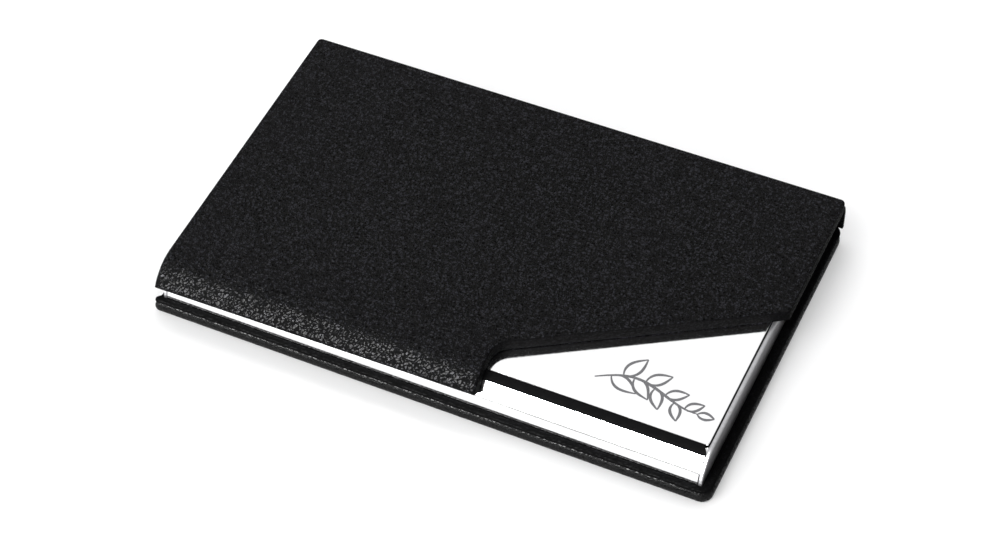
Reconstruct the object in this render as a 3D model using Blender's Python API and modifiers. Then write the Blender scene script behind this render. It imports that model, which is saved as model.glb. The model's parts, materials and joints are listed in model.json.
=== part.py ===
"""Business card case: a folded steel tray on a leather-covered base, closed by a steel lid under a leather flap.

The case stands on Z = 0 with its centre over the origin. +X is its right end, -Y its front with the curved lip,
+Y its back with the leather spine. The lid, with all of the flap, turns about the fold at the top of the spine.
Lengths are in metres and angles in degrees.
"""

import math

import bmesh
import bpy
from mathutils import Matrix, Vector

# Driving dimensions. X is measured from the middle of the flap until the finished case is centred.
FLAP_WIDTH = 0.0950
CASE_DEPTH = 0.0570
CASE_HEIGHT = 0.0095
LEATHER = 0.0006
STEEL = 0.00035
FIT = 0.00005

# Base: a leather cover turned up round a board, with a leather lining frame on top
BASE_LEFT = -0.0479
BASE_RIGHT = 0.0475
BASE_HEIGHT = 0.0030
BASE_SEAM_HEIGHT = 0.00225
BASE_SEAM_GAP = 0.00010
BASE_CORNER = 0.0019
BASE_EDGE_ROUNDING = 0.00045
BASE_TURN_UP = LEATHER + FIT
LINING_EDGE_ROUNDING = 0.00015

# Tray: its outer size, and the rounded front wall that the lip laps over
TRAY_LEFT = -0.0469
TRAY_RIGHT = 0.04585
TRAY_BACK = 0.02775
TRAY_FLOOR = 0.00215
TRAY_TOP = 0.00705
TRAY_BEND = 0.00045
REAR_WALL_TOP = 0.0069
FRONT_CENTRE_Y = -0.02255
FRONT_CENTRE_Z = 0.0021
FRONT_RADIUS = TRAY_TOP - FRONT_CENTRE_Z
FLANGE_END = -0.0220
CHEEK_THICKNESS = 0.00065
CHEEK_GAP = 0.00010
CHEEK_ROUNDING = 0.00018
CHEEK_INNER_LEFT = TRAY_LEFT + CHEEK_THICKNESS
CHEEK_INNER_RIGHT = TRAY_RIGHT - CHEEK_THICKNESS

# Magnet strip: it starts at an angle up the front wall and ends just before the lid plate
STRIP_ANGLE = 64.8
STRIP_CLEARANCE = 0.5
STRIP_THICKNESS = 0.00060
STRIP_SEAT_ANGLE = 4.0
STRIP_BEVEL_ANGLE = 3.5
STRIP_END_GAP = 0.00025
STRIP_REAR_RADIUS = 0.0011
STRIP_FRONT_RADIUS = 0.0005
STRIP_TO_LID = 0.00007

# Lid plate
LID_SIDE_GAP = 0.0002
LID_LEFT = CHEEK_INNER_LEFT + LID_SIDE_GAP
LID_RIGHT = CHEEK_INNER_RIGHT - LID_SIDE_GAP
LID_FRONT = -0.02285
LID_BACK = 0.0270
LID_CORNER = 0.0006
LID_BACK_CORNER = 0.0005
LID_EDGE_ROUNDING = 0.00008

# Flap: flat over the lid, then a lip bent round the same centre as the front wall
FLAP_BOTTOM = TRAY_TOP + FIT
LIP_THINNING = 0.0001
LIP_ANGLE_LEFT = 36.3
LIP_ANGLE_RIGHT = 44.7
LIP_STEPS = 14
FLAP_EDGE_ROUNDING = 0.0003
FLAP_CORNER = 0.0008
NOTCH_X = 0.00825
NOTCH_LEAN = 3.5
NOTCH_SLOPE = 30.6
NOTCH_LINE_POINT = (0.0190, -0.01295)
NOTCH_CORNER = 0.0035
TURN_IN = 0.0055
LIP_TURN_IN = 0.0016

# Spine: the hinge fold is level with the flap's underside, on the leather's inner face
HINGE_Y = CASE_DEPTH / 2 - LEATHER - 2 * FIT
HINGE_Z = FLAP_BOTTOM
SPINE_TOP = 0.0080
SPINE_HALF_WIDTH_TOP = 0.0475
SPINE_HALF_WIDTH_BOTTOM = 0.0473
SPINE_EDGE_ROUNDING = 0.00015

COLOURS = {
    "black_leather": ((0.012, 0.012, 0.014), 0.55, 0.0),
    "polished_steel": ((0.80, 0.80, 0.81), 0.12, 1.0),
    "satin_steel": ((0.55, 0.55, 0.56), 0.35, 1.0),
    "magnet_rubber": ((0.020, 0.020, 0.021), 0.60, 0.0),
    "grey_board": ((0.30, 0.28, 0.25), 0.90, 0.0),
    "black_lining": ((0.015, 0.015, 0.016), 0.80, 0.0),
    "core_foam": ((0.08, 0.08, 0.08), 0.90, 0.0),
}


# ---------------------------------------------------------------- scene and materials


def clear_scene():
    for old in list(bpy.data.objects):
        bpy.data.objects.remove(old)


def new_collection(name):
    collection = bpy.data.collections.new(name)
    bpy.context.scene.collection.children.link(collection)
    return collection


def new_material(name):
    colour, roughness, metallic = COLOURS[name]
    material = bpy.data.materials.new(name)
    material.use_nodes = True
    shader = material.node_tree.nodes["Principled BSDF"]
    shader.inputs["Base Color"].default_value = (*colour, 1.0)
    shader.inputs["Roughness"].default_value = roughness
    shader.inputs["Metallic"].default_value = metallic
    return material


clear_scene()
PARTS = new_collection("business_card_case")
CUTTERS = new_collection("cutters")
MATERIALS = {name: new_material(name) for name in COLOURS}


def add_object(name, mesh, material=None):
    """A part with its material, or a cutter where no material is given."""
    made = bpy.data.objects.new(name, mesh)
    if material:
        mesh.materials.clear()
        mesh.materials.append(MATERIALS[material])
        PARTS.objects.link(made)
    else:
        CUTTERS.objects.link(made)
        made.hide_render = True
        made.display_type = "WIRE"
    return made


# ---------------------------------------------------------------- outlines


def arc(centre_a, centre_b, radius, start, end, steps):
    """Points of an arc from start to end degrees, both ends included."""
    points = []
    for i in range(steps + 1):
        angle = math.radians(start + (end - start) * i / steps)
        points.append((centre_a + radius * math.cos(angle), centre_b + radius * math.sin(angle)))
    return points


def rounded(corners, radii, steps=6):
    """A closed outline through the corners, each replaced by an arc of its own radius, or kept where it is 0."""
    outline = []
    count = len(corners)
    for i, (corner, radius) in enumerate(zip(corners, radii)):
        here = Vector(corner)
        if radius == 0:
            outline.append(tuple(here))
            continue
        back = (Vector(corners[i - 1]) - here).normalized()
        ahead = (Vector(corners[(i + 1) % count]) - here).normalized()
        half_angle = back.angle(ahead) / 2
        reach = radius / math.tan(half_angle)
        centre = here + (back + ahead).normalized() * (radius / math.sin(half_angle))
        first = here + back * reach - centre
        last = here + ahead * reach - centre
        turn = first.angle_signed(last)
        for k in range(steps + 1):
            angle = -turn * k / steps
            spun = Matrix.Rotation(angle, 2) @ first
            outline.append(tuple(centre + spun))
    return outline


def rectangle(left, right, front, back, radius, steps=6):
    corners = [(left, front), (right, front), (right, back), (left, back)]
    return rounded(corners, [radius] * 4, steps)


# ---------------------------------------------------------------- solids from outlines


def flat_solid(name, outlines, low, high, material=None, upright=False):
    """A closed outline, with any holes, made solid between two levels.

    It lies in XY between two heights. Upright, its points are (Y, Z) and the levels are along X.
    """
    curve = bpy.data.curves.new(name, "CURVE")
    curve.dimensions = "2D"
    curve.fill_mode = "BOTH"
    curve.extrude = (high - low) / 2
    for outline in outlines:
        spline = curve.splines.new("POLY")
        spline.points.add(len(outline) - 1)
        for point, place in zip(spline.points, outline):
            point.co = (*place, 0.0, 1.0)
        spline.use_cyclic_u = True
    drawn = bpy.data.objects.new(name + "_outline", curve)
    CUTTERS.objects.link(drawn)
    middle = (low + high) / 2
    if upright:
        axes = Matrix(((0, 0, 1, middle), (1, 0, 0, 0), (0, 1, 0, 0), (0, 0, 0, 1)))
    else:
        axes = Matrix.Translation((0, 0, middle))
    drawn.matrix_world = axes
    bpy.context.view_layer.update()
    graph = bpy.context.evaluated_depsgraph_get()
    mesh = bpy.data.meshes.new_from_object(drawn.evaluated_get(graph))
    bpy.data.objects.remove(drawn)
    weld(mesh)
    mesh.transform(axes)
    return add_object(name, mesh, material)


def weld(mesh):
    shape = bmesh.new()
    shape.from_mesh(mesh)
    bmesh.ops.remove_doubles(shape, verts=shape.verts, dist=1e-6)
    bmesh.ops.dissolve_limit(shape, angle_limit=0.001, verts=shape.verts, edges=shape.edges)
    bmesh.ops.recalc_face_normals(shape, faces=shape.faces)
    shape.to_mesh(mesh)
    shape.free()


def lofted_solid(name, left, right, left_x, right_x, material=None):
    """A solid between two unlike (Y, Z) outlines with the same number of points, one at each X."""
    shape = bmesh.new()
    rings = []
    for outline, x in ((left, left_x), (right, right_x)):
        rings.append([shape.verts.new((x, y, z)) for y, z in outline])
    ends = [shape.faces.new(ring) for ring in rings]
    edges = [edge for face in ends for edge in face.edges]
    bmesh.ops.bridge_loops(shape, edges=edges)
    bmesh.ops.recalc_face_normals(shape, faces=shape.faces)
    mesh = bpy.data.meshes.new(name)
    shape.to_mesh(mesh)
    shape.free()
    return add_object(name, mesh, material)


def boolean(target, cutter, operation="DIFFERENCE"):
    step = target.modifiers.new(operation.title(), "BOOLEAN")
    step.operation = operation
    step.solver = "EXACT"
    step.object = cutter


def round_edges(target, width, segments=2, angle=50.0):
    step = target.modifiers.new("Rounding", "BEVEL")
    step.width = width
    step.segments = segments
    step.limit_method = "ANGLE"
    step.angle_limit = math.radians(angle)
    step.use_clamp_overlap = True


def smooth(target, angle=35.0):
    target.data.shade_smooth()
    target.data.set_sharp_from_angle(angle=math.radians(angle))


# ---------------------------------------------------------------- base


def base_outline(inset):
    half_depth = CASE_DEPTH / 2 - inset
    return rectangle(BASE_LEFT + inset, BASE_RIGHT - inset, -half_depth, half_depth, BASE_CORNER - inset)


def make_base():
    cover = flat_solid("base_cover", [base_outline(0.0)], 0.0, BASE_SEAM_HEIGHT, "black_leather")
    round_edges(cover, BASE_EDGE_ROUNDING, segments=3)
    boolean(cover, flat_solid("base_cover_hollow", [base_outline(LEATHER)], LEATHER, BASE_HEIGHT))
    smooth(cover)
    flat_solid("base_board", [base_outline(BASE_TURN_UP)], LEATHER + FIT, TRAY_FLOOR - FIT, "grey_board")

    window_front = FRONT_CENTRE_Y - FRONT_RADIUS - FIT
    window = rectangle(TRAY_LEFT - FIT, TRAY_RIGHT + FIT, window_front, TRAY_BACK + FIT, 0.0)
    lining_low = BASE_SEAM_HEIGHT + BASE_SEAM_GAP
    outlines = [base_outline(0.0), window]
    lining = flat_solid("base_lining", outlines, lining_low, BASE_HEIGHT, "black_leather")
    round_edges(lining, LINING_EDGE_ROUNDING, segments=1, angle=60.0)
    smooth(lining)


# ---------------------------------------------------------------- tray


def tray_profile():
    """The tray sheet's outer line in (Y, Z): down the rear wall, along the floor and round the front wall."""
    bend_z = TRAY_FLOOR + TRAY_BEND
    bend_reach = FRONT_RADIUS - TRAY_BEND
    rise = math.asin((bend_z - FRONT_CENTRE_Z) / bend_reach)
    bend_y = FRONT_CENTRE_Y - bend_reach * math.cos(rise)
    foot = 180 - math.degrees(rise)
    strip_end = 180 - STRIP_ANGLE
    seat_radius = FRONT_RADIUS - STRIP_THICKNESS - FIT
    line = [(TRAY_BACK, REAR_WALL_TOP)]
    line += arc(TRAY_BACK - TRAY_BEND, bend_z, TRAY_BEND, 0, -90, 4)
    line += arc(bend_y, bend_z, TRAY_BEND, 270, foot, 4)
    line += arc(FRONT_CENTRE_Y, FRONT_CENTRE_Z, FRONT_RADIUS, foot, strip_end, 12)[1:]
    line += arc(FRONT_CENTRE_Y, FRONT_CENTRE_Z, seat_radius, strip_end - STRIP_SEAT_ANGLE, 90, 4)
    line.append((FLANGE_END, FRONT_CENTRE_Z + seat_radius))
    return line


def make_tray():
    left = CHEEK_INNER_LEFT + CHEEK_GAP
    right = CHEEK_INNER_RIGHT - CHEEK_GAP
    shape = bmesh.new()
    verts = [shape.verts.new((left, y, z)) for y, z in tray_profile()]
    edges = [shape.edges.new(pair) for pair in zip(verts, verts[1:])]
    grown = bmesh.ops.extrude_edge_only(shape, edges=edges)["geom"]
    moved = [item for item in grown if isinstance(item, bmesh.types.BMVert)]
    bmesh.ops.translate(shape, verts=moved, vec=(right - left, 0, 0))
    mesh = bpy.data.meshes.new("tray_shell")
    shape.to_mesh(mesh)
    shape.free()
    tray = add_object("tray_shell", mesh, "polished_steel")
    sheet = tray.modifiers.new("Sheet", "SOLIDIFY")
    sheet.thickness = STEEL
    sheet.offset = -1.0
    sheet.use_even_offset = True
    smooth(tray)


def make_cheeks():
    """Both side walls share one mesh: their front end follows the front wall's curve."""
    foot = 180 - math.degrees(math.asin((TRAY_FLOOR - FRONT_CENTRE_Z) / FRONT_RADIUS))
    outline = [(TRAY_BACK, TRAY_FLOOR), (TRAY_BACK, TRAY_TOP)]
    outline += arc(FRONT_CENTRE_Y, FRONT_CENTRE_Z, FRONT_RADIUS, 90, foot, 18)
    low, high = CHEEK_INNER_RIGHT, TRAY_RIGHT
    right = flat_solid("cheek_right", [outline], low, high, "polished_steel", upright=True)
    left = add_object("cheek_left", right.data, "polished_steel")
    left.location.x = TRAY_LEFT - CHEEK_INNER_RIGHT
    for cheek in (right, left):
        round_edges(cheek, CHEEK_ROUNDING, segments=2, angle=60.0)
        smooth(cheek, 50.0)


def make_magnet_strip():
    """It fills the step in the front wall, flush with the steel on both sides of it."""
    start = 180 - STRIP_ANGLE - STRIP_CLEARANCE
    rear = LID_FRONT - STRIP_TO_LID
    inner = FRONT_RADIUS - STRIP_THICKNESS
    top = 90 + math.degrees(math.asin((FRONT_CENTRE_Y - rear) / FRONT_RADIUS))
    inner_top = 90 + math.degrees(math.asin((FRONT_CENTRE_Y - rear) / inner))
    outline = arc(FRONT_CENTRE_Y, FRONT_CENTRE_Z, FRONT_RADIUS, start, top, 8)
    outline += arc(FRONT_CENTRE_Y, FRONT_CENTRE_Z, inner, inner_top, start - STRIP_BEVEL_ANGLE, 8)
    left = CHEEK_INNER_LEFT + STRIP_END_GAP
    right = CHEEK_INNER_RIGHT - STRIP_END_GAP
    strip = flat_solid("magnet_strip", [outline], left, right, "magnet_rubber", upright=True)
    strip_front = FRONT_CENTRE_Y + FRONT_RADIUS * math.cos(math.radians(start))
    corners = [(left, strip_front - FIT), (right, strip_front - FIT), (right, rear + FIT), (left, rear + FIT)]
    radii = [STRIP_FRONT_RADIUS, STRIP_FRONT_RADIUS, STRIP_REAR_RADIUS, STRIP_REAR_RADIUS]
    ends = rounded(corners, radii, 8)
    boolean(strip, flat_solid("magnet_strip_ends", [ends], 0.0, CASE_HEIGHT), "INTERSECT")
    smooth(strip)


# ---------------------------------------------------------------- lid and flap


def make_lid_plate():
    corners = [(LID_LEFT, LID_FRONT), (LID_RIGHT, LID_FRONT), (LID_RIGHT, LID_BACK), (LID_LEFT, LID_BACK)]
    outline = rounded(corners, [LID_CORNER, LID_CORNER, LID_BACK_CORNER, LID_BACK_CORNER])
    plate = flat_solid("lid_plate", [outline], TRAY_TOP - STEEL, TRAY_TOP, "polished_steel")
    round_edges(plate, LID_EDGE_ROUNDING, segments=2, angle=60.0)
    smooth(plate, 50.0)


def flap_section(lip_angle, inner, outer, back, shrink_end):
    """The flap's (Y, Z) outline: inner and outer are its distances from the front wall's centre line."""
    end = 180 - lip_angle - math.degrees(shrink_end / outer)
    section = [(back, FRONT_CENTRE_Z + inner)]
    section += arc(FRONT_CENTRE_Y, FRONT_CENTRE_Z, inner, 90, end, LIP_STEPS)
    for i in range(LIP_STEPS + 1):
        angle = end + (90 - end) * i / LIP_STEPS
        radius = outer - LIP_THINNING * (angle - 90) / (90 - lip_angle)
        turn = math.radians(angle)
        section.append((FRONT_CENTRE_Y + radius * math.cos(turn), FRONT_CENTRE_Z + radius * math.sin(turn)))
    section.append((back, FRONT_CENTRE_Z + outer))
    return section


def notch_outline(grow):
    """The slanted cut-out at the front right, grown outwards by a distance."""
    slope = math.radians(NOTCH_SLOPE)
    along = Vector((math.cos(slope), math.sin(slope)))
    across = Vector((-along.y, along.x))
    start = Vector(NOTCH_LINE_POINT) + across * grow
    left = NOTCH_X - grow
    corner = start + along * ((left - start.x) / along.x)
    far = start + along * ((FLAP_WIDTH - start.x) / along.x)
    lean = math.tan(math.radians(NOTCH_LEAN)) * (CASE_DEPTH + corner.y)
    points = [(left + lean, -CASE_DEPTH), (FLAP_WIDTH, -CASE_DEPTH), tuple(far), tuple(corner)]
    return rounded(points, [0, 0, 0, NOTCH_CORNER + grow], 10)


def flap_outline(inset, corner):
    """The flap's plan before its cut-out. It reaches past the lip, whose end is the section's own."""
    half = FLAP_WIDTH / 2 - inset
    return rectangle(-half, half, -CASE_DEPTH, CASE_DEPTH / 2 - inset, corner)


def flap_slab(name, inset, low, high, material=None, flat_only=False, end_inset=None):
    """A layer of the flap between two heights over the flat part, with its plan inset from the flap's edge."""
    inner = low - FRONT_CENTRE_Z
    outer = high - FRONT_CENTRE_Z
    back = CASE_DEPTH / 2 - inset
    half = FLAP_WIDTH / 2 - inset
    end = inset if end_inset is None else end_inset
    left = flap_section(LIP_ANGLE_LEFT, inner, outer, back, end)
    right = flap_section(LIP_ANGLE_RIGHT, inner, outer, back, end)
    slab = lofted_solid(name, left, right, -half, half, material)
    cut = flat_solid(name + "_notch", [notch_outline(inset)], 0.0, 2 * CASE_HEIGHT)
    boolean(slab, cut)
    if flat_only:
        keep = rectangle(-half, half, FRONT_CENTRE_Y, back, 0.0)
        boolean(slab, flat_solid(name + "_flat", [keep], 0.0, 2 * CASE_HEIGHT), "INTERSECT")
    return slab


def make_flap_cover():
    cover = flap_slab("flap_cover", 0.0, FLAP_BOTTOM, CASE_HEIGHT, "black_leather")
    plan = flap_outline(0.0, FLAP_CORNER)
    boolean(cover, flat_solid("flap_corners", [plan], 0.0, 2 * CASE_HEIGHT), "INTERSECT")
    round_edges(cover, FLAP_EDGE_ROUNDING, segments=2, angle=45.0)
    hollow_low = FLAP_BOTTOM + LEATHER
    hollow_high = CASE_HEIGHT - LEATHER
    boolean(cover, flap_slab("flap_hollow", LEATHER, hollow_low, hollow_high))
    window_high = hollow_low + LEATHER / 2
    boolean(cover, flap_slab("flap_window", TURN_IN, FLAP_BOTTOM - LEATHER, window_high, end_inset=LIP_TURN_IN))
    fold = rectangle(-FLAP_WIDTH, FLAP_WIDTH, HINGE_Y, CASE_DEPTH, 0.0)
    boolean(cover, flat_solid("flap_fold", [fold], 0.0, SPINE_TOP))
    smooth(cover)


def make_flap_core():
    low = FLAP_BOTTOM + LEATHER + FIT
    high = CASE_HEIGHT - LEATHER - FIT
    inset = LEATHER + FIT
    flap_slab("flap_board", inset, low, high, "grey_board", flat_only=True)


def make_lip_pieces():
    """Between the leather of the lip: a steel strip on the inside and a filler over it."""
    low = FLAP_BOTTOM + LEATHER + FIT - FRONT_CENTRE_Z
    high = CASE_HEIGHT - LEATHER - FIT - FRONT_CENTRE_Z - LIP_THINNING
    split = low + STEEL
    start = 90 + math.degrees(FIT / low)
    end = 180 - LIP_ANGLE_RIGHT - math.degrees((LEATHER + FIT) / low)
    left = FIT + LEATHER - FLAP_WIDTH / 2
    right = NOTCH_X - LEATHER - FIT
    layers = (("lip_keeper", low, split, "satin_steel"), ("lip_core", split + FIT, high, "core_foam"))
    for name, inner, outer, material in layers:
        outline = arc(FRONT_CENTRE_Y, FRONT_CENTRE_Z, inner, start, end, 12)
        outline += arc(FRONT_CENTRE_Y, FRONT_CENTRE_Z, outer, end, start, 12)
        piece = flat_solid(name, [outline], left, right, material, upright=True)
        smooth(piece)


def make_flap_lining():
    """It fills the window that the cover's turned-in edges leave on the underside."""
    top = FLAP_BOTTOM + LEATHER
    end = LIP_TURN_IN + FIT
    lining = flap_slab("flap_lining", TURN_IN + FIT, FLAP_BOTTOM, top, "black_lining", end_inset=end)
    smooth(lining)


# ---------------------------------------------------------------- spine


def make_spine():
    """The leather down the back, from the base's top edge to the flap, wider at its top."""
    back = CASE_DEPTH / 2
    bottom = BASE_HEIGHT + FIT
    corners = [(-SPINE_HALF_WIDTH_BOTTOM, bottom), (SPINE_HALF_WIDTH_BOTTOM, bottom)]
    corners += [(SPINE_HALF_WIDTH_TOP, HINGE_Z - FIT), (SPINE_HALF_WIDTH_TOP, SPINE_TOP - FIT)]
    corners += [(-SPINE_HALF_WIDTH_TOP, SPINE_TOP - FIT), (-SPINE_HALF_WIDTH_TOP, HINGE_Z - FIT)]
    spine = flat_solid("spine_cover", [corners], HINGE_Y + FIT, back, "black_leather")
    spine.data.transform(Matrix(((1, 0, 0, 0), (0, 0, 1, 0), (0, 1, 0, 0), (0, 0, 0, 1))))
    spine.data.flip_normals()
    round_edges(spine, SPINE_EDGE_ROUNDING, segments=2)
    smooth(spine)


# ---------------------------------------------------------------- assembly


def empty_at(name, place):
    made = bpy.data.objects.new(name, None)
    made.location = place
    PARTS.objects.link(made)
    bpy.context.view_layer.update()
    return made


def hang_on_hinge(names):
    """The moving pieces hang on the fold line without leaving their places."""
    hinge = empty_at("lid_hinge", (0.0, HINGE_Y, HINGE_Z))
    for name in names:
        piece = bpy.data.objects[name]
        piece.parent = hinge
        piece.matrix_parent_inverse = hinge.matrix_world.inverted()


def centre_case():
    """The base reaches further left than the flap, so the whole case moves right until its middle is at X = 0."""
    loose = [piece for piece in bpy.data.objects if piece.parent is None]
    case = empty_at("case", (-(BASE_LEFT + BASE_RIGHT) / 2, 0.0, 0.0))
    for piece in loose:
        piece.parent = case


make_base()
make_tray()
make_cheeks()
make_magnet_strip()
make_lid_plate()
make_flap_cover()
make_flap_core()
make_lip_pieces()
make_flap_lining()
make_spine()
hang_on_hinge(["lid_plate", "flap_cover", "flap_board", "flap_lining", "lip_keeper", "lip_core"])
centre_case()
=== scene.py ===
"""Looks of the business card case: leather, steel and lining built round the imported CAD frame.

Lengths are in metres and angles in degrees. +X is the case's right end, -Y its front with the curved lip,
and +Z is up. Densities of grain are in cells per metre.
"""

import json
import math

import bmesh
import bpy
import numpy as np
from mathutils import Matrix, Vector, noise


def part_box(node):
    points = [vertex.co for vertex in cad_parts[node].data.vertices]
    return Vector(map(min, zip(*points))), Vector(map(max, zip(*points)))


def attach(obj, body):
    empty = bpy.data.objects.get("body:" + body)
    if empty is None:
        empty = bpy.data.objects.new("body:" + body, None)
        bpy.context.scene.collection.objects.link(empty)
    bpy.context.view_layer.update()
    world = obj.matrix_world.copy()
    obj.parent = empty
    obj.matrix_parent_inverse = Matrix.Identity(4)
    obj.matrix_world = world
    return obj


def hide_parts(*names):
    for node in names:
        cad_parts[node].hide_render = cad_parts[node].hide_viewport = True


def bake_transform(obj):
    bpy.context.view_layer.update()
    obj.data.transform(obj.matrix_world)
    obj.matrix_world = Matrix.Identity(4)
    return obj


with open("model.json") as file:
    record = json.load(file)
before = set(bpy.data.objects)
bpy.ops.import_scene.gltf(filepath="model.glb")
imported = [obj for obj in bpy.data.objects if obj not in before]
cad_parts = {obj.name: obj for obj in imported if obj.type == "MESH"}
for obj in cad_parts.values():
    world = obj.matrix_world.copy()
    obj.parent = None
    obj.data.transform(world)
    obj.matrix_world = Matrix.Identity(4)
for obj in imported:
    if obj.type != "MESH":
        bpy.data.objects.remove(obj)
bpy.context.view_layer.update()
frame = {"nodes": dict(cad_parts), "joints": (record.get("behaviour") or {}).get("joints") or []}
NODES = frame["nodes"]
HINGE = Vector(frame["joints"][0]["pos_m"])

# ---------------------------------------------------------------- sizes

FLAP_LOW, FLAP_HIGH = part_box("flap_cover")
BASE_LOW, BASE_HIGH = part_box("base_cover")
LINING_LOW, LINING_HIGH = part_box("base_lining")
SPINE_LOW, SPINE_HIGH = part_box("spine_cover")
PLATE_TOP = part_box("lid_plate")[1].z
TRAY_LOW, TRAY_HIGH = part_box("tray_shell")
TRAY_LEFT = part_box("cheek_left")[0].x
TRAY_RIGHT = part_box("cheek_right")[1].x

FLAP_LEFT = FLAP_LOW.x
FLAP_RIGHT = FLAP_HIGH.x
BACK = FLAP_HIGH.y
TOP = FLAP_HIGH.z

# The leather's thickness, the gap between touching pieces, and a hair that keeps faces out of one plane
LEATHER = 0.0006
FIT = HINGE.z - PLATE_TOP
HAIR = 0.00001

# Flap: its underside, and the lip bent round the front wall's centre line
FLAP_BOTTOM = HINGE.z
FLAP_THICKNESS = TOP - FLAP_BOTTOM
LIP_CENTRE_Y = -0.02255
LIP_CENTRE_Z = 0.0021
LIP_INNER = FLAP_BOTTOM - LIP_CENTRE_Z
LIP_OUTER = TOP - LIP_CENTRE_Z
LIP_TURN_LEFT = 55.8
LIP_TURN_RIGHT = 46.9
LIP_THINNING = 0.0001
LIP_CORNER = 0.0002
FLAP_CORNER = 0.0008
LEAST_CORNER = 0.0002
FLAP_EDGE_TOP = 0.00042
FLAP_EDGE_BOTTOM = 0.00022
CROWN_RISE = 0.00008
CROWN_REACH = 0.0012
CROWN_UNEVENNESS = 0.00004
NOTCH_X = 0.00845
NOTCH_LEAN = 3.2
NOTCH_SLOPE = 30.6
NOTCH_LINE_POINT = (0.0192, -0.01295)
NOTCH_CORNER = 0.0035
TURN_IN = 0.0055
LIP_TURN_IN = 0.0016
FOLD_TOP = SPINE_HIGH.z + FIT

# Base: its corners, and the folded leather at the front left one, which stands out a little past the side.
# Behind the fold the side is drawn in, and comes out again further back.
BASE_CORNER = 0.0019
PLEAT_CORNER = 0.0006
PLEAT_DEPTH = 0.0006
PLEAT_START = -0.0271
PLEAT_FULL = -0.0278
PLEAT_FADE = 0.8
TUCK_DEPTH = 0.00045
TUCK_BACK = -0.0150

# How far the base's edge wavers, as a share of its distance from the middle, and from which height up
RIPPLE = 0.001
RIPPLE_START = 0.0002

# Spine: its ends bulge a little below the hinge, and it dips between top and bottom
SPINE_BULGE = 0.00015
BULGE_HEIGHT = HINGE.z - 0.0003
SPINE_DIP = 0.00012

# Spacing of the cuts that let each piece bend or waver
FLAP_CELL = 0.0011
LIP_CELL = 0.00035
INNER_CELL = 0.003
INNER_LIP_CELL = 0.00045
BASE_CELL = 0.0015
PLEAT_CELL = 0.0003
FOLD_CELL = 0.0002

# Leaf sprig etched on the steel. Leaves start at shares of the stem's length, turned to each side of it in
# turn, and each is shorter than the one before. A leaf's half width is a share of its length.
SPRIG_PLACE = (0.0329, -0.0171, PLATE_TOP)
SPRIG_TURN = 4
SPRIG_LENGTH = 0.0170
SPRIG_BOW = 0.0017
SPRIG_LEAVES = 8
LEAF_FIRST = 0.14
LEAF_STEP = 0.105
LEAF_TURN = 46
LEAF_LENGTH = 0.0051
LEAF_SHRINK = 0.055
LEAF_WIDTH = 0.23
TIP_LEAF = 0.0027
STROKE_WIDTH = 0.00022

# Camera and stage
CAMERA_PLACE = (0.124236, -0.227738, 0.313270)
CAMERA_AZIMUTH = 28.68
CAMERA_ELEVATION = 50.49
CAMERA_ROLL = -4.385
CAMERA_LENS = 90.85
FLOOR_HALF = 3.0


# ---------------------------------------------------------------- outlines


def rounded(corners, radii, steps):
    """A closed outline through the corners, each replaced by an arc of its own radius."""
    outline = []
    count = len(corners)
    for i, (corner, radius) in enumerate(zip(corners, radii)):
        here = Vector(corner)
        back = (Vector(corners[i - 1]) - here).normalized()
        ahead = (Vector(corners[(i + 1) % count]) - here).normalized()
        half_angle = back.angle(ahead) / 2
        reach = radius / math.tan(half_angle)
        centre = here + (back + ahead).normalized() * (radius / math.sin(half_angle))
        first = here + back * reach - centre
        last = here + ahead * reach - centre
        turn = first.angle_signed(last)
        for k in range(steps + 1):
            outline.append(centre + Matrix.Rotation(-turn * k / steps, 2) @ first)
    return outline


def base_outline(low, high):
    """The base's outline: the folded leather makes its front left corner sharper than the others."""
    corners = [(low.x, low.y), (high.x, low.y), (high.x, high.y), (low.x, high.y)]
    return rounded(corners, [PLEAT_CORNER] + [BASE_CORNER] * 3, 10)


def shrunk(outline, inset):
    """The outline moved inwards by a distance, along the mean normal of its two edges at each point."""
    least_stretch = 0.3
    moved = []
    count = len(outline)
    for i, here in enumerate(outline):
        before = (here - outline[i - 1]).normalized()
        after = (outline[(i + 1) % count] - here).normalized()
        along = (before + after).normalized()
        inward = Vector((-along.y, along.x))
        stretch = max(least_stretch, inward.dot(Vector((-after.y, after.x))))
        moved.append(here + inward * (inset / stretch))
    return moved


def lip_end(x):
    """Where the lip ends, as a distance along the flap's outer face measured like Y."""
    share = (x - FLAP_LEFT) / (FLAP_RIGHT - FLAP_LEFT)
    turn = math.radians(LIP_TURN_LEFT + (LIP_TURN_RIGHT - LIP_TURN_LEFT) * share)
    return LIP_CENTRE_Y - LIP_OUTER * turn


def flap_outline(inset=0.0, end_inset=None):
    """The flap laid flat, with its slanted cut-out, counter-clockwise from the lip's left end."""
    end_inset = inset if end_inset is None else end_inset
    left = FLAP_LEFT + inset
    right = FLAP_RIGHT - inset
    slope = math.radians(NOTCH_SLOPE)
    across = Vector((-math.sin(slope), math.cos(slope))) * inset
    line_x, line_y = Vector(NOTCH_LINE_POINT) + across

    def line(x):
        return line_y + (x - line_x) * math.tan(slope)

    notch_x = NOTCH_X - inset
    lip_x = notch_x + (line(notch_x) - lip_end(notch_x)) * math.tan(math.radians(NOTCH_LEAN))
    corners = [
        (left, lip_end(left) + end_inset),
        (lip_x, lip_end(lip_x) + end_inset),
        (notch_x, line(notch_x)),
        (right, line(right)),
        (right, BACK - inset),
        (left, BACK - inset),
    ]
    corner = max(FLAP_CORNER - inset, LEAST_CORNER)
    radii = [LIP_CORNER, LIP_CORNER, NOTCH_CORNER + inset, FLAP_CORNER, corner, corner]
    return rounded(corners, radii, 10)


# ---------------------------------------------------------------- slabs and skins


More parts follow.
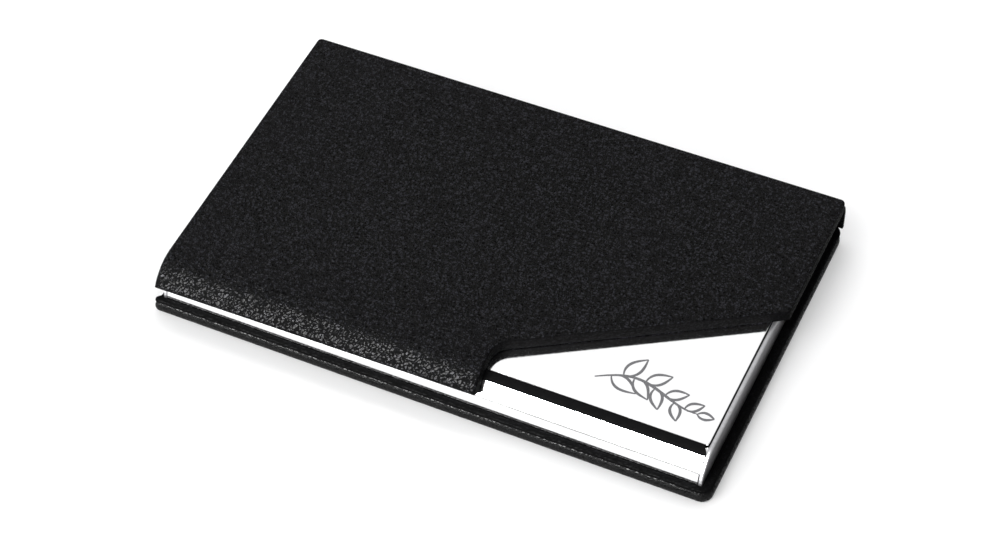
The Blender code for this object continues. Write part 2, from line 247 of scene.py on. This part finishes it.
def edge_profile(low, high, round_low, round_high, steps=5):
    """(inset, height) pairs round an edge, from the underside's rim to the top's rim."""
    profile = []
    for k in range(steps + 1):
        angle = math.pi / 2 * k / steps
        profile.append((round_low * (1 - math.sin(angle)), low + round_low * (1 - math.cos(angle))))
    for k in range(steps + 1):
        angle = math.pi / 2 * k / steps
        profile.append((round_high * (1 - math.cos(angle)), high - round_high * (1 - math.sin(angle))))
    return profile


def ring_of(shape, outline, height):
    return [shape.verts.new((x, y, height)) for x, y in outline]


def skin_between(shape, ring_a, ring_b):
    count = len(ring_a)
    for i in range(count):
        j = (i + 1) % count
        shape.faces.new((ring_a[i], ring_a[j], ring_b[j], ring_b[i]))


def slab(outline, profile, cells_x, cells_y):
    """A closed slab whose edge follows the profile, cut into a grid along the given lines."""
    shape = bmesh.new()
    rings = [ring_of(shape, shrunk(outline, inset), height) for inset, height in profile]
    for low, high in zip(rings, rings[1:]):
        skin_between(shape, low, high)
    shape.faces.new(list(reversed(rings[0])))
    shape.faces.new(rings[-1])
    cut_into_cells(shape, cells_x, 0)
    cut_into_cells(shape, cells_y, 1)
    return shape


def cut_into_cells(shape, places, axis):
    normal = Vector((0, 0, 0))
    normal[axis] = 1.0
    for place in places:
        everything = shape.verts[:] + shape.edges[:] + shape.faces[:]
        bmesh.ops.bisect_plane(shape, geom=everything, dist=2e-7, plane_co=normal * place, plane_no=normal)


def spaced(start, end, step):
    count = max(1, round((end - start) / step))
    return [start + (end - start) * (i + 0.5) / count for i in range(count)]


def edge_distance(points, outline):
    """Each (X, Y) point's distance from the outline."""
    ends = np.array([tuple(p) for p in outline])
    starts = np.roll(ends, 1, axis=0)
    spans = ends - starts
    lengths = np.maximum((spans**2).sum(1), 1e-18)
    nearest = np.full(len(points), 1e9)
    for start, span, length in zip(starts, spans, lengths):
        share = np.clip(((points - start) @ span) / length, 0, 1)
        away = points - start - share[:, None] * span
        nearest = np.minimum(nearest, np.hypot(away[:, 0], away[:, 1]))
    return nearest


def crown(shape, outline, middle):
    """Lets the top sink towards its rim, and makes it slightly uneven as glued leather is."""
    tops = [v for v in shape.verts if v.co.z > middle]
    points = np.array([(v.co.x, v.co.y) for v in tops])
    distances = edge_distance(points, outline)
    for vert, distance in zip(tops, distances):
        fall = math.exp(-((distance / CROWN_REACH) ** 2))
        wave = noise.noise(Vector((vert.co.x * 160, vert.co.y * 160, 3.7)))
        wave += 0.5 * noise.noise(Vector((vert.co.x * 420, vert.co.y * 420, 8.1)))
        vert.co.z -= CROWN_RISE * fall + CROWN_UNEVENNESS * (0.5 + 0.5 * wave) * (1 - fall)


def bend_to_flap(point):
    """A place on the flat flap (X, distance along, height over the underside) to its place on the case."""
    x, along, height = point
    if along >= LIP_CENTRE_Y:
        return Vector((x, along, FLAP_BOTTOM + height))
    turn = (LIP_CENTRE_Y - along) / LIP_OUTER
    full = (LIP_CENTRE_Y - lip_end(x)) / LIP_OUTER
    thinner = height * (1 - LIP_THINNING / FLAP_THICKNESS * min(1.0, turn / full))
    radius = LIP_INNER + thinner
    return Vector((x, LIP_CENTRE_Y - radius * math.sin(turn), LIP_CENTRE_Z + radius * math.cos(turn)))


def object_from(name, shape, material, angle=40.0):
    bmesh.ops.recalc_face_normals(shape, faces=shape.faces)
    mesh = bpy.data.meshes.new(name)
    shape.to_mesh(mesh)
    shape.free()
    made = bpy.data.objects.new(name, mesh)
    bpy.context.scene.collection.objects.link(made)
    if material:
        mesh.materials.append(material)
    mesh.shade_smooth()
    if angle:
        mesh.set_sharp_from_angle(angle=math.radians(angle))
    return made


def cut_away(target, cutter):
    """Takes the cutter's volume from the target's mesh, for good."""
    step = target.modifiers.new("Cut", "BOOLEAN")
    step.operation = "DIFFERENCE"
    step.solver = "EXACT"
    step.object = cutter
    graph = bpy.context.evaluated_depsgraph_get()
    mesh = bpy.data.meshes.new_from_object(target.evaluated_get(graph))
    target.modifiers.clear()
    old = target.data
    target.data = mesh
    mesh.name = target.name
    bpy.data.meshes.remove(old)
    bpy.data.objects.remove(cutter)


# ---------------------------------------------------------------- node helpers


def add_node(tree, kind, inputs=None, **settings):
    """A node with its settings, and with each input set to a value or linked to a socket."""
    node = tree.nodes.new(kind)
    for key, value in settings.items():
        setattr(node, key, value)
    for key, value in (inputs or {}).items():
        if isinstance(value, bpy.types.NodeSocket):
            tree.links.new(value, node.inputs[key])
        else:
            node.inputs[key].default_value = value
    return node


def object_coordinates(tree, scale):
    place = add_node(tree, "ShaderNodeTexCoord").outputs["Object"]
    return add_node(tree, "ShaderNodeMapping", {"Vector": place, "Scale": scale}).outputs["Vector"]


def grain(tree, scale, detail, roughness=0.5, distortion=0.0):
    """Noise from 0 to 1, as fine along each axis as the scale says, in cells per metre."""
    inputs = {
        "Vector": object_coordinates(tree, scale),
        "Scale": 1.0,
        "Detail": detail,
        "Roughness": roughness,
        "Distortion": distortion,
    }
    return add_node(tree, "ShaderNodeTexNoise", inputs).outputs["Fac"]


def math_of(tree, operation, a, b):
    return add_node(tree, "ShaderNodeMath", {0: a, 1: b}, operation=operation).outputs[0]


def weighted_sum(tree, *terms):
    """The sum of (value, weight) pairs."""
    first, *others = [math_of(tree, "MULTIPLY", value, weight) for value, weight in terms]
    for other in others:
        first = math_of(tree, "ADD", first, other)
    return first


def spread(tree, value, low, high, to_low=0.0, to_high=1.0):
    """The value's range low..high, smoothly stretched to another range."""
    inputs = {"Value": value, "From Min": low, "From Max": high, "To Min": to_low, "To Max": to_high}
    node = add_node(tree, "ShaderNodeMapRange", inputs, interpolation_type="SMOOTHSTEP")
    return node.outputs["Result"]


def blend_values(tree, share, a, b):
    """a where the share is 0, b where it is 1. A Mix node's sockets go by number, as their names repeat."""
    node = add_node(tree, "ShaderNodeMix", {0: share, 2: a, 3: b}, data_type="FLOAT")
    return node.outputs[0]


def blend_colours(tree, share, a, b):
    """The same for two colours."""
    node = add_node(tree, "ShaderNodeMix", {0: share, 6: a, 7: b}, data_type="RGBA")
    return node.outputs[2]


def new_finish(name, constants):
    """A Principled material, its node tree and its shader, which holds the constants on its own sockets."""
    material = bpy.data.materials.new(name)
    material.use_nodes = True
    tree = material.node_tree
    shader = tree.nodes["Principled BSDF"]
    for socket, value in constants.items():
        shader.inputs[socket].default_value = value
    return material, tree, shader


def drive(tree, shader, colour, roughness, height=None, depth=0.0):
    """Links the colour and roughness to the shader, and the height as a bump of the given depth."""
    tree.links.new(colour, shader.inputs["Base Color"])
    tree.links.new(roughness, shader.inputs["Roughness"])
    if height is not None:
        bump = add_node(tree, "ShaderNodeBump", {"Height": height, "Distance": depth, "Strength": 1.0})
        tree.links.new(bump.outputs["Normal"], shader.inputs["Normal"])


# ---------------------------------------------------------------- finishes


def pebble_pattern(tree):
    """Leather's pebbles: 0 in the creases round them and 1 on them, with outlines bent by noise."""
    bend = 0.0012
    warp = grain(tree, (900, 900, 900), 2.0)
    shift = math_of(tree, "MULTIPLY", math_of(tree, "SUBTRACT", warp, 0.5), bend)
    shifts = add_node(tree, "ShaderNodeCombineXYZ", {"X": shift, "Y": shift, "Z": shift}).outputs[0]
    place = add_node(tree, "ShaderNodeTexCoord").outputs["Object"]
    bent = add_node(tree, "ShaderNodeVectorMath", {0: place, 1: shifts}, operation="ADD").outputs[0]
    scaled = add_node(tree, "ShaderNodeMapping", {"Vector": bent, "Scale": (1700, 2200, 2200)}).outputs[0]
    cells = {"Vector": scaled, "Scale": 1.0, "Randomness": 1.0}
    edge = add_node(tree, "ShaderNodeTexVoronoi", cells, feature="DISTANCE_TO_EDGE").outputs["Distance"]
    return spread(tree, edge, 0.02, 0.20)


def thread_pattern(tree):
    """Short threads, lengthways and crossways: 1 where they cross and 0 between them."""
    lengthways = spread(tree, grain(tree, (1300, 2600, 2600), 1.0), 0.42, 0.57)
    crossways = spread(tree, grain(tree, (2600, 1300, 1300), 1.0), 0.42, 0.57)
    return spread(tree, weighted_sum(tree, (lengthways, 0.5), (crossways, 0.5)), 0.28, 0.80)


def leather_finish(name, specular, lightest, depth, gloss):
    """Black leather: pebbles between matt creases, crossed by short threads, and a slow change of gloss. The
    colour is painted darker in the creases, as painted shade.
    """
    material, tree, shader = new_finish(name, {"Specular IOR Level": specular})
    pebbles = pebble_pattern(tree)
    threads = thread_pattern(tree)
    waves = grain(tree, (260, 260, 260), 2.0)
    worn = spread(tree, grain(tree, (55, 55, 55), 3.0), 0.35, 0.70)
    height = weighted_sum(tree, (pebbles, 1.0), (threads, 0.6), (waves, 0.8))
    # Painted shade: the colour is darkened in the creases round the pebbles.
    painted_crease_shade = blend_values(tree, pebbles, 0.12, 1.0)
    share = math_of(tree, "POWER", math_of(tree, "MULTIPLY", threads, painted_crease_shade), 2.0)
    colour = blend_colours(tree, share, (0.0001, 0.0001, 0.0002, 1.0), (*lightest, 1.0))
    roughness = weighted_sum(tree, (blend_values(tree, pebbles, 0.90, gloss), 1.0), (worn, 0.06))
    drive(tree, shader, colour, roughness, height, depth)
    return material


def steel_finish(name, tint, low, high, streak_depth, shade):
    """Steel with hairlines along X, dark by up to the shade, and smears that vary its roughness."""
    material, tree, shader = new_finish(name, {"Metallic": 1.0, "Specular IOR Level": 0.5})
    hairlines = grain(tree, (60, 9000, 9000), 3.0, 0.6)
    bands = grain(tree, (8, 900, 900), 2.0)
    smears = grain(tree, (70, 110, 110), 3.0, 0.6)
    lines = spread(tree, hairlines, 0.35, 0.70)
    share = weighted_sum(tree, (lines, 0.4), (bands, 0.6))
    darker = tuple(c * (1 - shade) for c in tint) + (1.0,)
    colour = blend_colours(tree, share, darker, (*tint, 1.0))
    roughness = spread(tree, weighted_sum(tree, (smears, 0.6), (lines, 0.4)), 0.30, 0.75, low, high)
    drive(tree, shader, colour, roughness, hairlines, depth=streak_depth)
    return material


def rubber_finish():
    """Matt black magnet rubber, slightly mottled."""
    material, tree, shader = new_finish("magnet_rubber_matt", {"Specular IOR Level": 0.02})
    mottle = grain(tree, (900, 1800, 1800), 3.0, 0.6)
    specks = grain(tree, (6000, 6000, 6000), 1.0)
    colour = blend_colours(tree, mottle, (0.0010, 0.0010, 0.0012, 1), (0.0028, 0.0028, 0.0034, 1))
    roughness = spread(tree, mottle, 0.3, 0.7, 0.65, 0.85)
    drive(tree, shader, colour, roughness, specks, depth=0.00002)
    return material


def lining_finish():
    """Black microfibre: crossed yarns with a soft nap."""
    sheen = {"Sheen Weight": 0.25, "Sheen Roughness": 0.5}
    material, tree, shader = new_finish("black_lining_weave", sheen)
    yarns = []
    for scale in ((1900, 0, 0), (0, 1900, 1900)):
        wave = {"Vector": object_coordinates(tree, scale), "Scale": 1.0, "Distortion": 0.6, "Detail": 1.0}
        yarns.append(add_node(tree, "ShaderNodeTexWave", wave, bands_direction="DIAGONAL").outputs["Fac"])
    weave = math_of(tree, "MAXIMUM", *yarns)
    nap = grain(tree, (5200, 5200, 5200), 2.0)
    height = weighted_sum(tree, (weave, 1.0), (nap, 0.7))
    colour = blend_colours(tree, nap, (0.006, 0.006, 0.0065, 1), (0.022, 0.022, 0.024, 1))
    roughness = spread(tree, nap, 0.2, 0.8, 0.75, 0.95)
    drive(tree, shader, colour, roughness, height, depth=0.00006)
    return material


def board_finish():
    """Greyboard: short pressed fibres."""
    material, tree, shader = new_finish("grey_board_fibre", {"Specular IOR Level": 0.2})
    fibres = grain(tree, (500, 1800, 1800), 4.0, 0.7, 1.2)
    flecks = spread(tree, grain(tree, (2600, 2600, 2600), 1.0), 0.62, 0.72)
    colour = blend_colours(tree, fibres, (0.20, 0.185, 0.165, 1), (0.36, 0.335, 0.30, 1))
    colour = blend_colours(tree, flecks, colour, (0.10, 0.09, 0.08, 1))
    roughness = spread(tree, fibres, 0.2, 0.8, 0.82, 0.96)
    drive(tree, shader, colour, roughness, fibres, depth=0.00008)
    return material


def foam_finish():
    """Dark filler with fine open cells."""
    material, tree, shader = new_finish("core_foam_cells", {"Specular IOR Level": 0.2})
    cells = {"Vector": object_coordinates(tree, (3500, 3500, 3500)), "Scale": 1.0}
    distance = add_node(tree, "ShaderNodeTexVoronoi", cells).outputs["Distance"]
    colour = blend_colours(tree, distance, (0.03, 0.03, 0.03, 1), (0.11, 0.11, 0.11, 1))
    roughness = spread(tree, distance, 0.0, 0.8, 0.8, 0.95)
    drive(tree, shader, colour, roughness, distance, depth=0.0001)
    return material


def engraving_finish():
    """The etched line's matt grey steel."""
    material, tree, shader = new_finish("etched_steel", {"Metallic": 0.85, "Specular IOR Level": 0.4})
    frost = grain(tree, (9000, 9000, 9000), 2.0)
    colour = blend_colours(tree, frost, (0.055, 0.055, 0.058, 1), (0.10, 0.10, 0.104, 1))
    roughness = spread(tree, frost, 0.3, 0.7, 0.45, 0.65)
    drive(tree, shader, colour, roughness, frost, depth=0.00002)
    return material


def floor_finish():
    """A plain white table top, barely uneven."""
    material, tree, shader = new_finish("white_table", {"Specular IOR Level": 0.15})
    cloud = grain(tree, (6, 6, 6), 2.0)
    colour = blend_colours(tree, cloud, (0.90, 0.90, 0.905, 1), (0.92, 0.92, 0.92, 1))
    roughness = spread(tree, cloud, 0.3, 0.7, 0.75, 0.85)
    drive(tree, shader, colour, roughness)
    return material


LEATHER_FINISH = leather_finish(
    "black_leather_grain", specular=0.034, lightest=(0.0185, 0.0185, 0.0225), depth=0.00007, gloss=0.16
)
# A darker copy of the same leather, for the base's sides and the spine: painted shade.
PAINTED_SHADE_SIDE_LEATHER = leather_finish(
    "black_leather_edge_painted_shade", specular=0.075, lightest=(0.0014, 0.0014, 0.0018), depth=0.00002, gloss=0.12
)
# A darker copy of the same leather, for the base's ledge and the flap's side faces: painted shade.
PAINTED_SHADE_LEDGE_LEATHER = leather_finish(
    "black_leather_ledge_painted_shade", specular=0.020, lightest=(0.0024, 0.0024, 0.0030), depth=0.00002, gloss=0.50
)
POLISHED = steel_finish(
    "polished_steel_hairline", (0.69, 0.69, 0.695), low=0.05, high=0.12, streak_depth=0.000002, shade=0.08
)
FRONT_STEEL = steel_finish(
    "polished_steel_wall", (0.70, 0.70, 0.705), low=0.04, high=0.09, streak_depth=0.000001, shade=0.18
)
# The cheeks' polished steel, tinted much darker than the other steel: painted shade for the dark ledge they
# reflect.
PAINTED_SHADE_CHEEK_STEEL = steel_finish(
    "polished_steel_cheek_painted_shade", (0.36, 0.36, 0.37), low=0.30, high=0.40, streak_depth=0.000004, shade=0.30
)
SATIN = steel_finish(
    "satin_steel_strip", (0.55, 0.55, 0.56), low=0.30, high=0.45, streak_depth=0.000006, shade=0.15
)
RUBBER = rubber_finish()
LINING = lining_finish()
BOARD = board_finish()
FOAM = foam_finish()
ETCHED = engraving_finish()


def smoothing():
    """A node group that shades faces smooth, and keeps edges sharp where they turn by over 30 degrees."""
    group = bpy.data.node_groups.new("smooth_faces", "GeometryNodeTree")
    group.interface.new_socket("Mesh", in_out="INPUT", socket_type="NodeSocketGeometry")
    group.interface.new_socket("Mesh", in_out="OUTPUT", socket_type="NodeSocketGeometry")
    start = add_node(group, "NodeGroupInput").outputs[0]
    angle = add_node(group, "GeometryNodeInputMeshEdgeAngle").outputs["Unsigned Angle"]
    sharp = math_of(group, "GREATER_THAN", angle, math.radians(30))
    faces = add_node(group, "GeometryNodeSetShadeSmooth", {0: start, 2: True}, domain="FACE").outputs[0]
    edges = {0: faces, 1: sharp, 2: False}
    done = add_node(group, "GeometryNodeSetShadeSmooth", edges, domain="EDGE").outputs[0]
    add_node(group, "NodeGroupOutput", {0: done})
    return group


SMOOTHING = smoothing()


def dress(node, material):
    """Gives a CAD node its finish and smooth shading."""
    target = NODES[node]
    target.data.materials.clear()
    target.data.materials.append(material)
    target.modifiers.new("Smooth", "NODES").node_group = SMOOTHING
    weights = target.modifiers.new("Weighted normals", "WEIGHTED_NORMAL")
    weights.keep_sharp = True
    weights.weight = 100


# ---------------------------------------------------------------- leather pieces


def place_piece(made, body, slot, *nodes):
    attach(made, body)
    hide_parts(*nodes)


def make_flap():
    """The flap's leather: hollow, open underneath for the lining, and bent down at the front as the lip."""
    outline = flap_outline()
    profile = edge_profile(0.0, FLAP_THICKNESS, FLAP_EDGE_BOTTOM, FLAP_EDGE_TOP)
    across = spaced(FLAP_LEFT, FLAP_RIGHT, FLAP_CELL)
    lengthways = spaced(lip_end(FLAP_LEFT), LIP_CENTRE_Y, LIP_CELL) + spaced(LIP_CENTRE_Y, BACK, FLAP_CELL)
    shape = slab(outline, profile, across, lengthways)
    crown(shape, outline, FLAP_THICKNESS / 2)
    shape.normal_update()
    # Side faces take the second material, the darker ledge leather: painted shade.
    for face in shape.faces:
        face.material_index = 1 if abs(face.normal.z) < 0.5 else 0
    for vert in shape.verts:
        vert.co = bend_to_flap(vert.co)
    flap = object_from("flap_leather", shape, LEATHER_FINISH)
    flap.data.materials.append(PAINTED_SHADE_LEDGE_LEATHER)
    inside = upright(LEATHER, FLAP_THICKNESS - LEATHER)
    cut_away(flap, flap_layer("flap_inside", inside, LEATHER))
    window = upright(-LEATHER, LEATHER * 1.5)
    cut_away(flap, flap_layer("flap_window_cut", window, TURN_IN, LIP_TURN_IN))
    cut_away(flap, box_cutter((FLAP_LEFT * 1.1, HINGE.y, 0.0), (FLAP_RIGHT * 1.1, BACK * 1.1, FOLD_TOP)))
    flap.data.shade_smooth()
    flap.data.set_sharp_from_angle(angle=math.radians(40))
    place_piece(flap, "lid", "black_leather", "flap_cover")


def upright(low, high):
    """The profile of a square edge."""
    return [(0.0, low), (0.0, high)]


def flap_layer(name, profile, inset, end_inset=None, material=None):
    """A plain layer of the flap, inset from its outline and bent like it."""
    outline = flap_outline(inset, end_inset)
    lengthways = spaced(lip_end(FLAP_LEFT), LIP_CENTRE_Y, INNER_LIP_CELL)
    lengthways += spaced(LIP_CENTRE_Y, BACK, INNER_CELL)
    shape = slab(outline, profile, spaced(FLAP_LEFT, FLAP_RIGHT, INNER_CELL), lengthways)
    for vert in shape.verts:
        vert.co = bend_to_flap(vert.co)
    return object_from(name, shape, material)


def box_cutter(low, high):
    shape = bmesh.new()
    middle = (Vector(low) + Vector(high)) / 2
    size = Vector(high) - Vector(low)
    bmesh.ops.create_cube(shape, size=1.0, matrix=Matrix.Translation(middle) @ Matrix.Diagonal((*size, 1)))
    return object_from("cutter", shape, None, 0)


def make_flap_lining():
    """The cloth that fills the opening in the flap's underside."""
    profile = edge_profile(0.0, LEATHER, 0.00012, 0.00003, 3)
    lining = flap_layer("flap_lining_cloth", profile, TURN_IN + FIT, LIP_TURN_IN + FIT, LINING)
    place_piece(lining, "lid", "black_lining", "flap_lining")


def make_base_cover():
    """The leather tray under the base: its outer face bulges a little, and its rim rolls in at the top."""
    height = BASE_HIGH.z
    profile = [(0.00060, 0.0), (0.00036, 0.00003), (0.00020, 0.00012), (0.00009, 0.00028)]
    profile += [(0.00003, 0.00060), (0.0, 0.00105), (0.00003, 0.00132), (0.00010, 0.00157)]
    profile += [(0.00021, 0.00180), (0.00035, 0.00198), (0.00048, 0.00209), (0.00056, height)]
    profile += [(LEATHER, height), (LEATHER, LEATHER)]
    shape = base_slab(BASE_LOW, BASE_HIGH, profile)
    # The base's sides take the darker copy of the leather: painted shade.
    cover = object_from("base_leather", shape, PAINTED_SHADE_SIDE_LEATHER, 60.0)
    place_piece(cover, "tray", "black_leather", "base_cover")


def base_slab(low, high, profile):
    """A slab in the base's outline, with its wavering edge and its folded corner."""
    across = spaced(low.x, high.x, BASE_CELL)
    lengthways = spaced(low.y, PLEAT_START, PLEAT_CELL) + spaced(PLEAT_START, high.y, BASE_CELL)
    shape = slab(base_outline(low, high), profile, across, lengthways)
    ripple(shape)
    stand_out(shape)
    return shape


def smooth(value, start, end):
    """0 at the start and 1 at the end, with a soft curve between them."""
    share = min(1.0, max(0.0, (value - start) / (end - start)))
    return share * share * (3 - 2 * share)


def stand_out(shape):
    """The folded leather at the front left corner stands out past the side, which is drawn in behind it."""
    inner_limit = TRAY_LEFT + 0.0001
    for vert in shape.verts:
        x, y, z = vert.co
        outwards = min(1.0, max(0.0, (inner_limit - x) / (TRAY_LEFT - BASE_LOW.x)))
        faded = 1 - PLEAT_FADE * (z / LINING_HIGH.z) ** 2
        out = PLEAT_DEPTH * smooth(y, PLEAT_START, PLEAT_FULL) * faded
        tuck = TUCK_DEPTH * smooth(y, PLEAT_FULL, PLEAT_START) * smooth(y, TUCK_BACK, PLEAT_START)
        vert.co.x += outwards * (tuck - out)


def ripple(shape):
    """Lets the edge waver inwards by up to RIPPLE of its distance from the middle, as glued leather does."""
    for vert in shape.verts:
        x, y, z = vert.co
        if z < RIPPLE_START:
            continue
        wave = noise.noise(Vector((x * 220, y * 220, z * 500)))
        pull = 1 - RIPPLE * (0.5 + 0.5 * wave)
        vert.co.x = x * pull
        vert.co.y = y * pull


def make_base_lining():
    """The leather ledge round the tray, with a soft outer edge and a window for the tray."""
    profile = edge_profile(LINING_LOW.z, LINING_HIGH.z, 0.00016, 0.00036)
    shape = base_slab(LINING_LOW, LINING_HIGH, profile)
    # The ledge takes the darker copy of the leather: painted shade.
    lining = object_from("base_ledge_leather", shape, PAINTED_SHADE_LEDGE_LEATHER, 50.0)
    window_low = (TRAY_LEFT - FIT, TRAY_LOW.y - FIT, 0.0)
    window_high = (TRAY_RIGHT + FIT, TRAY_HIGH.y + FIT, TOP)
    cut_away(lining, box_cutter(window_low, window_high))
    lining.data.shade_smooth()
    lining.data.set_sharp_from_angle(angle=math.radians(50))
    place_piece(lining, "tray", "black_leather", "base_lining")


def make_spine():
    """The spine's leather, built lying down and stood up: its ends bulge, and it dips half-way up."""
    low, high = LINING_HIGH.z + HAIR, FOLD_TOP - HAIR
    left, right = SPINE_LOW.x, SPINE_HIGH.x
    bottom = [(left, low), (right, low)]
    top = [(right, high), (left, high)]
    corners = bottom + [(right + SPINE_BULGE, BULGE_HEIGHT)] + top + [(left - SPINE_BULGE, BULGE_HEIGHT)]
    outline = rounded(corners, [0.0002, 0.0002, 0.002, 0.0003, 0.0003, 0.002], 6)
    thickness = SPINE_HIGH.y - SPINE_LOW.y
    profile = edge_profile(0.0, thickness, 0.00008, 0.00020)
    shape = slab(outline, profile, spaced(left, right, BASE_CELL), spaced(low, high, FOLD_CELL))
    for vert in shape.verts:
        x, up, out = vert.co
        share = (up - low) / (high - low)
        dip = SPINE_DIP * math.sin(math.pi * share) ** 2 * (out / thickness)
        vert.co = Vector((x, SPINE_LOW.y + out - dip, up))
    # The spine takes the darker copy of the leather: painted shade.
    spine = object_from("spine_leather", shape, PAINTED_SHADE_SIDE_LEATHER, 50.0)
    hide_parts("spine_cover")
    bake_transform(spine)


# ---------------------------------------------------------------- ornament on the steel


def stroke(shape, points, widths, height):
    """A closed, barely raised ribbon along the points."""
    sections = []
    for i, (point, width) in enumerate(zip(points, widths)):
        before = points[max(0, i - 1)]
        after = points[min(len(points) - 1, i + 1)]
        along = (after - before).normalized()
        side = Vector((-along.y, along.x)) * (width / 2)
        left, right = point - side, point + side
        corners = [(left, -HAIR), (right, -HAIR), (right, height), (left, height)]
        sections.append([shape.verts.new((place.x, place.y, up)) for place, up in corners])
    for near, far in zip(sections, sections[1:]):
        for k in range(4):
            shape.faces.new((near[k], near[k - 1], far[k - 1], far[k]))
    shape.faces.new(sections[0])
    shape.faces.new(list(reversed(sections[-1])))


def make_ornament():
    """A plain leaf sprig etched where the lid's corner shows: a bowed stem with leaves on both sides.

    Each stroke ends at a height of its own, so that no two lie in one plane where they cross.
    """
    shape = bmesh.new()
    samples = 28
    shares = [i / samples for i in range(samples + 1)]
    swell = [math.sin(math.pi * s) for s in shares]

    def stem(share):
        return Vector(((share - 0.5) * SPRIG_LENGTH, SPRIG_BOW * math.sin(math.pi * share * 1.5)))

    stroke(shape, [stem(s) for s in shares], [STROKE_WIDTH + 0.00030 * w for w in swell], HAIR * 2)
    leaves = []
    for i in range(SPRIG_LEAVES):
        side = 1 if i % 2 else -1
        leaves.append((LEAF_FIRST + LEAF_STEP * i, LEAF_TURN * side, LEAF_LENGTH * (1.0 - LEAF_SHRINK * i)))
    leaves.append((1.0, 0, TIP_LEAF))
    height = HAIR * 0.6
    for share, turn, reach in leaves:
        root = stem(share)
        direction = (root - stem(share - 0.02)).normalized()
        tip = Matrix.Rotation(math.radians(turn), 2) @ direction * reach
        across = Vector((-tip.y, tip.x)) * LEAF_WIDTH
        for half in (1, -1):
            leaf = [root + tip * s + across * half * math.sin(math.pi * s**0.8) for s in shares]
            stroke(shape, leaf, [STROKE_WIDTH + 0.00026 * w for w in swell], height)
            height += HAIR * 0.06
    sprig = object_from("etched_sprig", shape, ETCHED)
    sprig.location = SPRIG_PLACE
    sprig.rotation_euler = (0, 0, math.radians(SPRIG_TURN))
    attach(sprig, "lid")


# ---------------------------------------------------------------- stage


def make_floor():
    shape = bmesh.new()
    bmesh.ops.create_grid(shape, x_segments=8, y_segments=8, size=FLOOR_HALF)
    floor = object_from("floor", shape, floor_finish(), 0)
    floor.location.z = BASE_LOW.z - HAIR


def area_light(name, place, size, power):
    """A rectangular light aimed at the case, with its size in metres and its power in watts."""
    light = bpy.data.lights.new(name, "AREA")
    light.shape = "RECTANGLE"
    light.size, light.size_y = size
    light.energy = power
    lamp = bpy.data.objects.new(name, light)
    lamp.location = place
    lamp.rotation_euler = (-Vector(place)).to_track_quat("-Z", "Y").to_euler()
    bpy.context.scene.collection.objects.link(lamp)
    return lamp


def make_lights():
    """A white studio with weak lights before and behind, and a strip that shows only in glossy surfaces."""
    world = bpy.data.worlds.new("studio")
    world.use_nodes = True
    background = world.node_tree.nodes["Background"]
    background.inputs["Color"].default_value = (1.0, 1.0, 1.0, 1.0)
    background.inputs["Strength"].default_value = 1.05
    bpy.context.scene.world = world
    area_light("key", place=(-0.610, -1.400, 1.700), size=(1.60, 1.60), power=16.0)
    strip = area_light("gloss_strip", place=(-0.610, -1.400, 1.290), size=(1.10, 2.10), power=490.0)
    strip.visible_diffuse = False
    area_light("back", place=(-0.72, 1.30, 1.80), size=(1.60, 1.60), power=4.0)


def make_camera():
    camera = bpy.data.cameras.new("camera")
    camera.lens = CAMERA_LENS
    camera.sensor_width = 36.0
    camera.clip_start, camera.clip_end = 0.01, 20.0
    seat = bpy.data.objects.new("camera", camera)
    bpy.context.scene.collection.objects.link(seat)
    tilt = Matrix.Rotation(math.radians(90 - CAMERA_ELEVATION), 4, "X")
    pan = Matrix.Rotation(math.radians(CAMERA_AZIMUTH), 4, "Z")
    roll = Matrix.Rotation(math.radians(CAMERA_ROLL), 4, "Z")
    seat.matrix_world = Matrix.Translation(CAMERA_PLACE) @ pan @ tilt @ roll
    bpy.context.scene.camera = seat


FINISHES = {
    "tray_shell": FRONT_STEEL,
    "cheek_left": PAINTED_SHADE_CHEEK_STEEL,
    "cheek_right": PAINTED_SHADE_CHEEK_STEEL,
    "lid_plate": POLISHED,
    "lip_keeper": SATIN,
    "magnet_strip": RUBBER,
    "base_board": BOARD,
    "flap_board": BOARD,
    "lip_core": FOAM,
}
for node_name, finish in FINISHES.items():
    dress(node_name, finish)

make_flap()
make_flap_lining()
make_base_cover()
make_base_lining()
make_spine()
make_ornament()
make_floor()
make_lights()
make_camera()
bpy.context.scene.view_settings.view_transform = "Standard"
